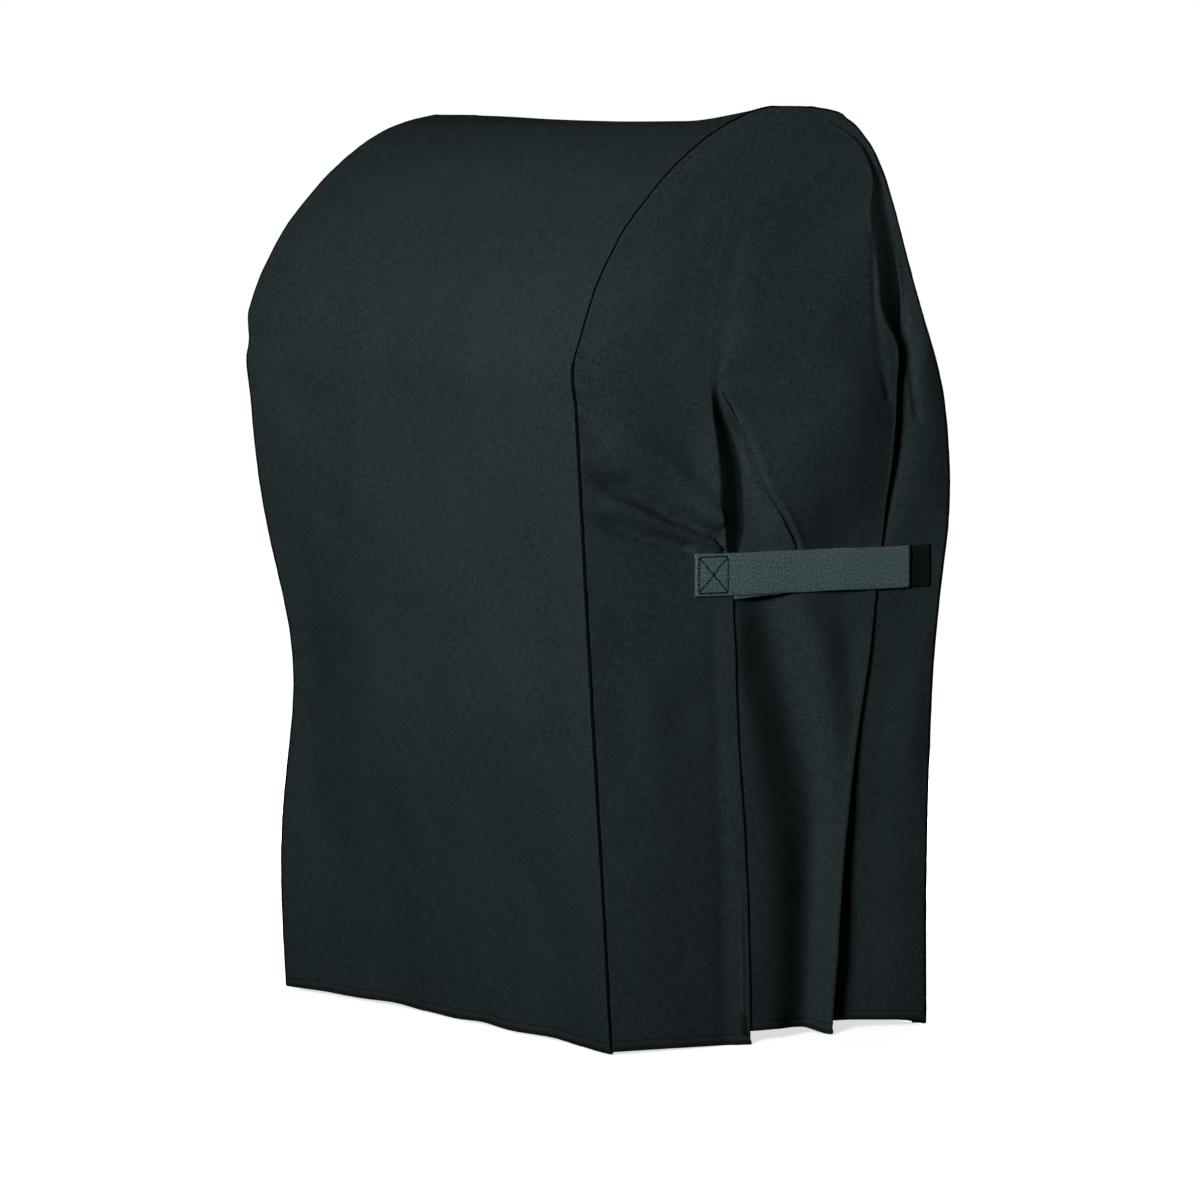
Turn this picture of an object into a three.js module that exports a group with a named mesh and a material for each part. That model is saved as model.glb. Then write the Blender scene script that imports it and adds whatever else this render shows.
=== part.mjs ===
// Fitted cover for a two-burner cart grill: coated woven polyester, cut as one long panel that
// runs up the front, over the lid and down the back, and two side panels sewn to its edges.
// Each side panel is wider than the grill is deep. A webbing strap with hook and loop gathers the
// spare cloth into two knife folds. Millimetres, +Z up, front towards -Y, origin on the ground
// under the middle of the cover.
import * as THREE from "three";

// ---- Driving dimensions ----
const WIDTH = 710; // between the two side seams
const HEIGHT = 1092; // hem to the top of the lid ends
const HEM_DEPTH = 459; // front to back at the hem
const KNEE_HEIGHT = 798; // where the front turns back over the lid
const KNEE_LEAN = 53; // how far the knee stands in front of the front hem
const BACK_LEAN = 33; // how far the back swells behind the back hem
const BACK_SWELL_HEIGHT = 650; // where it stands out most
const LID_FLAT_FROM = 225; // level stretch on top of the lid, measured from the front hem
const LID_FLAT_TO = 285;
const LID_SAG = 15; // how far the cloth sinks between the lid's two ends
const SAG_RAMP = 100; // width over which it sinks
const PINCH_HEIGHT = 412; // the left front corner is drawn in at this height
const PINCH_REACH = 120;
const PINCH_IN = 22;
const PINCH_BACK = 26;
const PINCH_FADE = 230; // how far across the front the pull is felt

const CLOTH = 1.5; // stand-in thickness for the coated cloth
const SEAM_GAP = 1; // between the long panel's edge and the side panel it is sewn to
const LAY_GAP = 0.4; // between a piece and the cloth it lies on

const BINDING_WIDTH = 20;
const BINDING_THICKNESS = 1;
const HEM_TAPE_HEIGHT = 25;
const HEM_TAPE_THICKNESS = 1;

const STRAP_WIDTH = 50;
const STRAP_THICKNESS = 1.6;
const STRAP_HEIGHT = 550; // middle of the strap above the hem
const STRAP_OUT = 2; // how far the cloth under the strap stands outside the seam line
const STRAP_OVERLAP = 35; // how far the strap's free end reaches over the hook patch
const ANCHOR_LENGTH = 50; // the sewn end, as long as the strap is wide
const HINGE_Y = 169; // the fold line of the strap, just behind the sewn end
const HINGE_GAP = 3; // from the fold line to the sewn end and to the free stretch
const TAPE_THICKNESS = 1.2;
const LOOP_TAPE_LENGTH = 92;
const PATCH_LENGTH = 68;
const PATCH_CLEARANCE = 21; // from the hook patch to the back seam
const THREAD = 0.9;
const THREAD_RISE = 0.5;
const STITCH_INSET = 4; // from the webbing's edge to the sewn box

const DEPTH_MIDDLE = (HEM_DEPTH + BACK_LEAN - KNEE_LEAN) / 2; // puts the origin under the middle
const HALF = WIDTH / 2;

// ---- Smooth curves through a few hand-set values ----
function hermite(t, a, b, slopeA, slopeB) {
  const t2 = t * t;
  const t3 = t2 * t;
  const fromA = a * (2 * t3 - 3 * t2 + 1) + slopeA * (t3 - 2 * t2 + t);
  return fromA + b * (3 * t2 - 2 * t3) + slopeB * (t3 - t2);
}

// knots is a list of [place, value]; the slope at a knot is that of the line through its neighbours.
function through(knots, at) {
  const last = knots.length - 1;
  if (at <= knots[0][0]) return knots[0][1];
  if (at >= knots[last][0]) return knots[last][1];
  const i = knots.findIndex((k, n) => n < last && at < knots[n + 1][0]);
  const slope = (n) => {
    const a = knots[Math.max(n - 1, 0)];
    const b = knots[Math.min(n + 1, last)];
    return (b[1] - a[1]) / (b[0] - a[0]);
  };
  const span = knots[i + 1][0] - knots[i][0];
  const t = (at - knots[i][0]) / span;
  return hermite(t, knots[i][1], knots[i + 1][1], slope(i) * span, slope(i + 1) * span);
}

function smooth(low, high, at) {
  const t = THREE.MathUtils.clamp((at - low) / (high - low), 0, 1);
  return t * t * (3 - 2 * t);
}

// ---- Outline of the cover seen from the side ----
const lidFront = new THREE.CubicBezierCurve(
  new THREE.Vector2(-KNEE_LEAN, KNEE_HEIGHT),
  new THREE.Vector2(-KNEE_LEAN + 23, KNEE_HEIGHT + 102),
  new THREE.Vector2(LID_FLAT_FROM - 115, HEIGHT),
  new THREE.Vector2(LID_FLAT_FROM, HEIGHT),
);
const SHOULDER = new THREE.Vector2(LID_FLAT_TO + 105, HEIGHT - 77); // where the back slope starts
const lidBack = new THREE.CubicBezierCurve(
  SHOULDER,
  new THREE.Vector2(SHOULDER.x - 18, HEIGHT - 30),
  new THREE.Vector2(LID_FLAT_TO + 65, HEIGHT),
  new THREE.Vector2(LID_FLAT_TO, HEIGHT),
);

// A rising curve's distance from the front at a height, by halving.
function curveAt(curve, z) {
  let low = 0;
  let high = 1;
  for (let n = 0; n < 40; n++) {
    const middle = (low + high) / 2;
    if (curve.getPoint(middle).y < z) low = middle;
    else high = middle;
  }
  return curve.getPoint((low + high) / 2).x;
}

function frontAt(z) {
  return z <= KNEE_HEIGHT ? (-KNEE_LEAN * z) / KNEE_HEIGHT : curveAt(lidFront, z);
}

const BACK_SWELL = HEM_DEPTH + BACK_LEAN;
const backSlope = [
  [0, HEM_DEPTH],
  [BACK_SWELL_HEIGHT * 0.3, HEM_DEPTH + 1],
  [BACK_SWELL_HEIGHT * 0.66, HEM_DEPTH + 7],
  [BACK_SWELL_HEIGHT * 0.83, BACK_SWELL - 10],
  [BACK_SWELL_HEIGHT, BACK_SWELL],
  [BACK_SWELL_HEIGHT + (SHOULDER.y - BACK_SWELL_HEIGHT) * 0.26, BACK_SWELL - 8],
  [SHOULDER.y, SHOULDER.x],
];

function backAt(z) {
  return z <= SHOULDER.y ? through(backSlope, z) : curveAt(lidBack, z);
}

// The left front corner is drawn in and back, most at PINCH_HEIGHT.
function pinchAt(z) {
  return Math.exp(-(((z - PINCH_HEIGHT) / PINCH_REACH) ** 2));
}

// ---- Sections of a side panel ----
// Each section is the cloth's path at one height, from the front seam to the back seam. A bow is
// [share of the way back, how far outside the seam line]. A fold has the place of its outer edge
// (a share of the way back), how far that edge stands out, how far the cloth doubles back under it
// (negative once the fold has opened out), and the drop from its outer to its inner layer. The
// middle's share is of the way from the first fold to the second.
const STRAP_LOW = STRAP_HEIGHT - STRAP_WIDTH / 2;
const STRAP_HIGH = STRAP_HEIGHT + STRAP_WIDTH / 2;
const LID_MIDDLE = KNEE_HEIGHT + (HEIGHT - KNEE_HEIGHT) * 0.45;
const sections = [
  { z: 0, front: [0.2, 16], fold1: [0.394, 28, 48, 28], middle: [0.8, 2],
    fold2: [0.656, 20, 46, 32], rear: [0.82, -6] },
  { z: STRAP_LOW * 0.53, front: [0.2, 10], fold1: [0.401, 18, 48, 22], middle: [0.6, 4],
    fold2: [0.749, 14, 42, 27], rear: [0.87, -5] },
  { z: STRAP_LOW, front: [0.2, 1.5], fold1: [0.398, 2, 44, 12], middle: [0.6, -5],
    fold2: [0.797, -1, 38, 12.5], rear: [0.95, -2.4] },
  { z: STRAP_HIGH, front: [0.2, 1.5], fold1: [0.398, 2, 30, 12], middle: [0.5, -4],
    fold2: [0.797, -1, 30, 13], rear: [0.95, -2.4] },
  { z: (STRAP_HIGH + KNEE_HEIGHT) / 2, front: [0.19, 6], fold1: [0.375, 12, -40, 18], middle: [0.5, 14],
    fold2: [0.81, 16, -14, 32], rear: [0.92, 2] },
  { z: KNEE_HEIGHT, front: [0.19, 10], fold1: [0.37, 18, -60, 3], middle: [0.5, 24],
    fold2: [0.84, 20, -20, 22], rear: [0.94, 4] },
  { z: LID_MIDDLE, front: [0.17, 5], fold1: [0.34, 8, -70, 0], middle: [0.5, 9],
    fold2: [0.85, 6, -22, 9], rear: [0.95, 0] },
  { z: HEIGHT, front: [0.14, 0], fold1: [0.28, 0, -14, 0], middle: [0.5, 0],
    fold2: [0.72, 0, -8, 0], rear: [0.93, 0] },
];

function sectionValue(piece, n, z) {
  return through(sections.map((s) => [s.z, s[piece][n]]), z);
}

// The cloth's turning points at a height: [distance from the front hem, distance outside the seam line].
function turningPoints(z, pinched) {
  const from = frontAt(z) + pinched * PINCH_BACK;
  const to = backAt(z);
  const place = (share) => from + share * (to - from);
  const bow = (piece) => [place(sectionValue(piece, 0, z)), sectionValue(piece, 1, z)];
  const fold = (piece) => {
    const [share, out, under, drop] = [0, 1, 2, 3].map((n) => sectionValue(piece, n, z));
    const back = Math.max(under, 0);
    const spread = Math.max(-under, 0);
    const turn = Math.min(drop, back) / 3;
    const ways = [-turn, 0, -turn, turn - back, -back, turn - back];
    const drops = [0, 0.25, 0.5, 0.5, 0.75, 1];
    return ways.map((way, n) => [place(share) + way + (n / 5) * spread, out - drops[n] * drop]);
  };
  const seam = [from, -pinched * PINCH_IN];
  const fold1 = fold("fold1");
  const fold2 = fold("fold2");
  const between = Math.max(...fold1.map((p) => p[0]));
  const share = sectionValue("middle", 0, z);
  const middle = [between + share * (fold2[4][0] - between), sectionValue("middle", 1, z)];
  const points = [seam, bow("front"), ...fold1, middle, ...fold2, bow("rear"), [to, 0]];
  points[1][1] -= pinched * PINCH_IN * 0.6;
  return points;
}

// A point of the path, by its share from the front seam (0) to the back seam (1).
function pathPoint(points, share) {
  const last = points.length - 1;
  const whole = Math.min(Math.floor(share * last), last - 1);
  const t = share * last - whole;
  const near = [-1, 0, 1, 2].map((n) => THREE.MathUtils.clamp(whole + n, 0, last));
  const [before, a, b, after] = near.map((n) => points[n]);
  return [0, 1].map((n) => hermite(t, a[n], b[n], (b[n] - before[n]) / 2, (after[n] - a[n]) / 2));
}

// ---- Solids ----
// A closed sheet from a grid of points on its outer face and the matching grid on its inner face.
function sheetSolid(outer, inner) {
  const rows = outer.length;
  const columns = outer[0].length;
  const positions = [...outer, ...inner].flat().flatMap((p) => [p.x, p.y, p.z]);
  const index = [];
  const at = (face, i, j) => (face * rows + i) * columns + j;
  const quad = (a, b, c, d) => index.push(a, b, c, a, c, d);
  for (let i = 0; i + 1 < rows; i++)
    for (let j = 0; j + 1 < columns; j++) {
      quad(at(0, i, j), at(0, i, j + 1), at(0, i + 1, j + 1), at(0, i + 1, j));
      quad(at(1, i, j), at(1, i + 1, j), at(1, i + 1, j + 1), at(1, i, j + 1));
    }
  for (let j = 0; j + 1 < columns; j++) {
    quad(at(0, 0, j), at(1, 0, j), at(1, 0, j + 1), at(0, 0, j + 1));
    quad(at(0, rows - 1, j + 1), at(1, rows - 1, j + 1), at(1, rows - 1, j), at(0, rows - 1, j));
  }
  for (let i = 0; i + 1 < rows; i++) {
    quad(at(0, i + 1, 0), at(1, i + 1, 0), at(1, i, 0), at(0, i, 0));
    const end = columns - 1;
    quad(at(0, i, end), at(1, i, end), at(1, i + 1, end), at(0, i + 1, end));
  }
  const geometry = new THREE.BufferGeometry();
  geometry.setAttribute("position", new THREE.Float32BufferAttribute(positions, 3));
  geometry.setIndex(volumeOf(positions, index) < 0 ? index.reverse() : index);
  return geometry;
}

function volumeOf(positions, index) {
  let sum = 0;
  const p = (n) => new THREE.Vector3().fromArray(positions, index[n] * 3);
  for (let n = 0; n < index.length; n += 3) sum += p(n).dot(p(n + 1).cross(p(n + 2)));
  return sum;
}

// The grid moved a distance towards the inside of the cover. facing(i, j, normal) may turn the normal.
function offsetGrid(grid, distance, outwards, facing) {
  return grid.map((row, i) =>
    row.map((point, j) => {
      const along = row[Math.min(j + 1, row.length - 1)].clone().sub(row[Math.max(j - 1, 0)]);
      const up = grid[Math.min(i + 1, grid.length - 1)][j].clone().sub(grid[Math.max(i - 1, 0)][j]);
      const normal = along.cross(up).normalize().multiplyScalar(outwards);
      return point.clone().addScaledVector(facing(i, j, normal).normalize(), -distance);
    }),
  );
}

// A sheet that lies between two depths under the grid's face. part picks the stretch of it that is made.
function layer(grid, from, to, outwards, facing, part = (rows) => rows) {
  const faces = [from, to].map((depth) => part(offsetGrid(grid, depth, outwards, facing)));
  return sheetSolid(...faces);
}

const place = (x, fromFront, z) => new THREE.Vector3(x, fromFront - DEPTH_MIDDLE, z);

// ---- The long panel: front, lid and back in one piece ----
// share runs from -1 at the left seam to 1 at the right seam.
function longPanelPoint(share, fromFront, z, onFront) {
  const pinched = onFront ? pinchAt(z) : 0;
  const x = share * (HALF - (share < 0 ? pinched * PINCH_IN : 0));
  const fade = 1 - smooth(0, PINCH_FADE, x + HALF);
  const sunk = LID_SAG * smooth(0, SAG_RAMP, HALF - Math.abs(x)) * smooth(HEIGHT - 90, HEIGHT, z);
  return place(x, fromFront + pinched * PINCH_BACK * fade, z - sunk);
}

// Rows of points up the cover: even up the walls, and closer where the lid's curve flattens out.
const LOW_ROWS = 8;
const HIGH_ROWS = 4;
const LID_ROWS = 12;

function rowsBetween(low, high, count) {
  return Array.from({ length: count }, (_, n) => low + ((high - low) * (n + 1)) / count);
}

const LOW_HEIGHTS = [0, HEM_TAPE_HEIGHT, ...rowsBetween(HEM_TAPE_HEIGHT, STRAP_LOW, LOW_ROWS)];
const HIGH_HEIGHTS = [STRAP_HIGH, ...rowsBetween(STRAP_HIGH, KNEE_HEIGHT, HIGH_ROWS)];
const LID_HEIGHTS = rowsBetween(0, Math.PI / 2, LID_ROWS).map(
  (turn) => KNEE_HEIGHT + (HEIGHT - KNEE_HEIGHT) * Math.sin(turn),
);
const HEIGHTS = [...LOW_HEIGHTS, ...HIGH_HEIGHTS, ...LID_HEIGHTS];

function longPanelGrid(shares, heights = HEIGHTS) {
  const front = heights.map((z) => shares.map((s) => longPanelPoint(s, frontAt(z), z, true)));
  const back = heights.map((z) => shares.map((s) => longPanelPoint(s, backAt(z), z, false)));
  return { front, back, whole: [...front, ...back.reverse()] };
}

// Layers lie square to the panel, and level at the hem so that the cover stands flat.
function squareToPanel(rows) {
  return (i, j, normal) => {
    normal.x = 0;
    if (i === 0 || i === rows - 1) normal.z = 0;
    return normal;
  };
}

const PANEL_EDGE = (HALF - CLOTH - SEAM_GAP) / HALF; // shares of half the width
const BINDING_EDGE = PANEL_EDGE - BINDING_WIDTH / HALF;
const rightShares = [0.35, 0.7, 0.83, BINDING_EDGE, PANEL_EDGE];
const panelShares = [...rightShares.map((s) => -s).reverse(), 0, ...rightShares];

function longPanel() {
  const { whole } = longPanelGrid(panelShares);
  return layer(whole, 0, CLOTH, 1, squareToPanel(whole.length));
}

function seamBinding(side) {
  const shares = [BINDING_EDGE, PANEL_EDGE].map((s) => side * s).sort((a, b) => a - b);
  const heights = HEIGHTS.map((z) => Math.max(z, HEM_TAPE_HEIGHT + 2 * LAY_GAP));
  const { whole } = longPanelGrid(shares, heights);
  const inside = CLOTH + LAY_GAP;
  return layer(whole, inside, inside + BINDING_THICKNESS, 1, squareToPanel(whole.length));
}

function endHemTape(end) {
  const { whole } = longPanelGrid(panelShares);
  const rows = end === "front" ? [0, 2] : [-2];
  const inside = CLOTH + LAY_GAP;
  const square = squareToPanel(whole.length);
  return layer(whole, inside, inside + HEM_TAPE_THICKNESS, 1, square, (all) => all.slice(...rows));
}

// ---- Side panels ----
const STEPS_PER_TURN = 2;

function sidePanelGrid(side, heights) {
  return heights.map((z) => {
    const points = turningPoints(z, side < 0 ? pinchAt(z) : 0);
    const steps = (points.length - 1) * STEPS_PER_TURN;
    return Array.from({ length: steps + 1 }, (_, n) => {
      const [fromFront, out] = pathPoint(points, n / steps);
      return place(side * (HALF + out), fromFront, z);
    });
  });
}

// Along the seams and the lid's edge the panel faces straight out, so that it closes the long panel's end.
function squareToSeams(rows, columns, side) {
  return (i, j, normal) => {
    if (j === 0 || j === columns - 1 || i === rows - 1) normal.set(side, 0, 0);
    if (i === 0) normal.z = 0;
    return normal;
  };
}

function sidePanel(side) {
  const grid = sidePanelGrid(side, HEIGHTS);
  return layer(grid, 0, CLOTH, side, squareToSeams(grid.length, grid[0].length, side));
}

function sideHemTape(side) {
  const grid = sidePanelGrid(side, HEIGHTS);
  const inside = CLOTH + LAY_GAP;
  const square = squareToSeams(grid.length, grid[0].length, side);
  const low = (rows) => rows.slice(0, 2).map((row) => row.slice(1, -1)); // clear of the two seams
  return layer(grid, inside, inside + HEM_TAPE_THICKNESS, side, square, low);
}

// ---- Straps ----
// A flat piece at the strap's height: from and to are measured from the front hem, low and out from
// the seam line.
function flatPiece(side, from, to, low, out, height = STRAP_WIDTH) {
  const box = new THREE.BoxGeometry(out - low, to - from, height);
  const middle = place(side * (HALF + (low + out) / 2), (from + to) / 2, STRAP_HEIGHT);
  return box.translate(middle.x, middle.y, middle.z);
}

const WEBBING_LOW = STRAP_OUT + LAY_GAP;
const WEBBING_OUT = WEBBING_LOW + STRAP_THICKNESS;
const ANCHOR_TO = HINGE_Y - HINGE_GAP;
const ANCHOR_FROM = ANCHOR_TO - ANCHOR_LENGTH;
const PATCH_TO = backAt(STRAP_HEIGHT) - PATCH_CLEARANCE;
const PATCH_FROM = PATCH_TO - PATCH_LENGTH;
const STRAP_END = PATCH_FROM + STRAP_OVERLAP;
const TAPE_LOW = WEBBING_LOW - LAY_GAP - TAPE_THICKNESS;
const PATCH_OUT = TAPE_LOW - LAY_GAP;

function loopTapePiece(side) {
  const to = STRAP_END - STITCH_INSET / 2;
  const height = STRAP_WIDTH - STITCH_INSET;
  return flatPiece(side, to - LOOP_TAPE_LENGTH, to, TAPE_LOW, TAPE_LOW + TAPE_THICKNESS, height);
}

function hookPatchPiece(side) {
  return flatPiece(side, PATCH_FROM, PATCH_TO, PATCH_OUT - TAPE_THICKNESS, PATCH_OUT);
}

// A flat stretch of the strap itself.
function webbingPiece(side, from, to) {
  return flatPiece(side, from, to, WEBBING_LOW, WEBBING_OUT);
}

// A sewn box with a cross: a square frame of thread with both its diagonals.
function boxStitching(side) {
  const half = ANCHOR_LENGTH / 2 - STITCH_INSET;
  const inner = half - THREAD;
  const bar = (THREAD * Math.SQRT2) / 2;
  const quarters = [0, 1, 2, 3].map((n) => (n * Math.PI) / 2);
  const turned = (x, y, angle) => new THREE.Vector2(x, y).rotateAround(new THREE.Vector2(), angle);
  const shape = new THREE.Shape(quarters.map((angle) => turned(half, half, angle)));
  const gap = [[bar, 0], [inner, inner - bar], [inner, bar - inner]];
  shape.holes = quarters.map((angle) => new THREE.Path(gap.map(([x, y]) => turned(x, y, angle))));
  const geometry = new THREE.ExtrudeGeometry(shape, { depth: THREAD_RISE, bevelEnabled: false });
  const middle = place(side * (HALF + WEBBING_OUT + LAY_GAP), (ANCHOR_FROM + ANCHOR_TO) / 2, STRAP_HEIGHT);
  return geometry.rotateY((side * Math.PI) / 2).translate(middle.x, middle.y, middle.z);
}

// ---- Materials ----
const cloth = new THREE.MeshStandardMaterial({ color: 0x262e30, roughness: 0.62, metalness: 0 });
const webbing = new THREE.MeshStandardMaterial({ color: 0x3a4648, roughness: 0.8, metalness: 0 });
const hookTape = new THREE.MeshStandardMaterial({ color: 0x101213, roughness: 0.95, metalness: 0 });
const loopTape = new THREE.MeshStandardMaterial({ color: 0x1b1f20, roughness: 1, metalness: 0 });
const binding = new THREE.MeshStandardMaterial({ color: 0x14181a, roughness: 0.85, metalness: 0 });
const thread = new THREE.MeshStandardMaterial({ color: 0x161a1b, roughness: 0.7, metalness: 0 });

// ---- Assembly ----
const cover = new THREE.Group();

function add(name, geometry, material) {
  const mesh = new THREE.Mesh(geometry, material);
  mesh.name = name;
  cover.add(mesh);
}

add("main_panel", longPanel(), cloth);
add("front_hem_tape", endHemTape("front"), binding);
add("back_hem_tape", endHemTape("back"), binding);
for (const [name, side] of [["right", 1], ["left", -1]]) {
  add(`${name}_side_panel`, sidePanel(side), cloth);
  add(`${name}_seam_binding`, seamBinding(side), binding);
  add(`${name}_hem_tape`, sideHemTape(side), binding);
  add(`${name}_strap_sewn_end`, webbingPiece(side, ANCHOR_FROM, ANCHOR_TO), webbing);
  add(`${name}_strap`, webbingPiece(side, HINGE_Y + HINGE_GAP, STRAP_END), webbing);
  add(`${name}_strap_loop_tape`, loopTapePiece(side), loopTape);
  add(`${name}_hook_patch`, hookPatchPiece(side), hookTape);
  add(`${name}_strap_stitching`, boxStitching(side), thread);
}

export default cover;
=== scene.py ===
"""A fitted cover for a two-burner cart grill, in coated woven polyester, as it hangs over the grill.

Lengths in the pieces' sections are in millimetres, with y measured from the front hem and "out" from the
side seam's plane. Everything is turned to metres, in the frame's own axes, when a mesh is made.
"""
import math

import bpy
import numpy as np
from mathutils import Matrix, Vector


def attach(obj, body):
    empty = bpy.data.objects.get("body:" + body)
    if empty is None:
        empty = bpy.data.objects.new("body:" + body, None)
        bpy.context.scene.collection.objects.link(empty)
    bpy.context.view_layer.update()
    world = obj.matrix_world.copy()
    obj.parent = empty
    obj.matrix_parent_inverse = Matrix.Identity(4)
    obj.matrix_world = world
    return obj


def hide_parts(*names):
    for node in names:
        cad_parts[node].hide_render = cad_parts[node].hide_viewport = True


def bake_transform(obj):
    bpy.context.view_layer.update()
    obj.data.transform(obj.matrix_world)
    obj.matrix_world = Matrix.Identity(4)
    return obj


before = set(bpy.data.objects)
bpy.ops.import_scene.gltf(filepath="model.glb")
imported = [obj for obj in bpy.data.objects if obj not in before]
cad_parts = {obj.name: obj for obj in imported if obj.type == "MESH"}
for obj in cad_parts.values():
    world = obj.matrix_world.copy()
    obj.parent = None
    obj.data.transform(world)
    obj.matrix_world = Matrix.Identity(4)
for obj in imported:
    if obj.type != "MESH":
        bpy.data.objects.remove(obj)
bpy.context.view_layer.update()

# ---------------------------------------------------------------- Cover cloth
# 600 denier polyester in plain weave with a thin polyurethane coat on its inner face. The coat fills
# the weave and stiffens it, so the cloth breaks into few, broad folds and has a soft, satin sheen.
THREAD_PITCH = 1.3  # mm; the real one is about 0.55, too fine to show
CLOTH_THICKNESS = 0.8


def linear(hex_colour):
    """An sRGB hex colour as linear red, green, blue and alpha."""
    parts = [int(hex_colour[i : i + 2], 16) / 255 for i in (1, 3, 5)]
    return [c / 12.92 if c <= 0.04045 else ((c + 0.055) / 1.055) ** 2.4 for c in parts] + [1]


def node(material, kind, inputs=None, **settings):
    """Adds a node. An input is a value, or another node's output, which is linked."""
    made = material.node_tree.nodes.new("ShaderNode" + kind)
    for name, value in settings.items():
        setattr(made, name, value)
    for name, value in (inputs or {}).items():
        if isinstance(value, bpy.types.NodeSocket):
            material.node_tree.links.new(value, made.inputs[name])
        else:
            made.inputs[name].default_value = value
    return made


def new_material(name):
    material = bpy.data.materials.new(name)
    material.use_nodes = True
    return material, material.node_tree.nodes["Principled BSDF"]


def threads(material, across, along, pitch):
    """The over and under of a plain weave: 1 where a thread is on top, 0 where it dips."""
    ways = []
    for distance in (across, along):
        turned = node(material, "Math", {0: distance, 1: math.pi * 1000 / pitch}, operation="MULTIPLY")
        ways.append(node(material, "Math", {0: turned.outputs[0]}, operation="SINE").outputs[0])
    crossed = node(material, "Math", {0: ways[0], 1: ways[1]}, operation="MULTIPLY")
    level = node(material, "Math", {0: crossed.outputs[0], 1: 0.5, 2: 0.5}, operation="MULTIPLY_ADD")
    return level.outputs[0]


def coated_polyester():
    material, shader = new_material("coated_polyester_plain_weave")
    cut = node(material, "UVMap", uv_map="cut").outputs[0]
    split = node(material, "SeparateXYZ", {0: cut})
    weave = threads(material, split.outputs[0], split.outputs[1], THREAD_PITCH)
    # Uneven threads: fine streaks that run with the warp and with the weft.
    streaks = []
    for stretch in ((1400, 60, 1), (60, 1400, 1)):
        scaled = node(material, "Mapping", {"Vector": cut, "Scale": stretch})
        grain = node(material, "TexNoise", {"Vector": scaled.outputs[0], "Scale": 1.0, "Detail": 1.0})
        streaks.append(grain.outputs[0])
    slub = node(material, "Math", {0: streaks[0], 1: streaks[1]}, operation="ADD").outputs[0]
    place = node(material, "TexCoord").outputs["Object"]
    mottle = node(material, "TexNoise", {"Vector": place, "Scale": 260.0, "Detail": 2.0}).outputs[0]
    slub = node(material, "Math", {0: mottle, 1: 0.8, 2: slub}, operation="MULTIPLY_ADD").outputs[0]
    handled = node(material, "TexNoise", {"Vector": place, "Scale": 5.0, "Detail": 4.0, "Roughness": 0.6})
    # The dye is even; the top of each thread is a little lighter, and rubbed places a little greyer.
    tone = node(material, "Math", {0: weave, 1: 0.25, 2: slub}, operation="MULTIPLY_ADD").outputs[0]
    level = node(material, "MapRange", {"Value": tone, 1: 1.1, 2: 1.95, 3: 0.0, 4: 1.0}).outputs[0]
    dyed = node(material, "Mix", {0: level, 6: linear("#141b1d"), 7: linear("#2c3537")}, data_type="RGBA")
    dusty = node(material, "MapRange", {"Value": handled.outputs[0], 1: 0.35, 2: 0.75, 3: 0.0, 4: 0.35})
    colour = node(
        material, "Mix", {0: dusty.outputs[0], 6: dyed.outputs[2], 7: linear("#293234")}, data_type="RGBA"
    )
    rough = node(material, "MapRange", {"Value": handled.outputs[0], 1: 0.3, 2: 0.7, 3: 0.62, 4: 0.72})
    height = node(material, "Math", {0: weave, 1: 0.6, 2: slub}, operation="MULTIPLY_ADD").outputs[0]
    bump = node(material, "Bump", {"Height": height, "Strength": 0.35, "Distance": 0.0003})
    links = material.node_tree.links
    links.new(colour.outputs[2], shader.inputs["Base Color"])
    links.new(rough.outputs[0], shader.inputs["Roughness"])
    links.new(bump.outputs[0], shader.inputs["Normal"])
    shader.inputs["Specular IOR Level"].default_value = 0.06
    return material


cover_cloth = coated_polyester()

# ---------------------------------------------------------------- Outline of the cover
# The long panel's path seen from the side: up the front, back over the lid, over its rear corner and
# down the back. It is the line of both long seams, so the side panels are cut to it too.
FRONT_HEM = -219.5  # where the front hem lies in the frame, and the zero of the y values below
HALF_WIDTH = 355
TOP = 1092
KNEE = 800  # where the front turns back over the lid
ROW_STEP = 6
LID_FLAT_FROM = 225
LID_FLAT_TO = 285
front_line = [
    (0, 0), (-13, 200), (-27, 400), (-40, 600), (-49, 740), (-53, 798), (-44, 824), (-34, 853),
    (-21, 886), (-2, 920), (20, 953), (46, 982), (74, 1010), (108, 1038), (143, 1061), (178, 1078),
    (205, 1088), (LID_FLAT_FROM, TOP),
]
back_line = [
    (459, 0), (459, 200), (463, 330), (470, 450), (480, 530), (490, 600), (492, 645), (489, 700),
    (482, 752), (470, 796), (453, 842), (436, 889), (420, 937), (404, 984), (388, 1022), (366, 1055),
    (338, 1078), (310, 1089), (LID_FLAT_TO, TOP),
]


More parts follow.
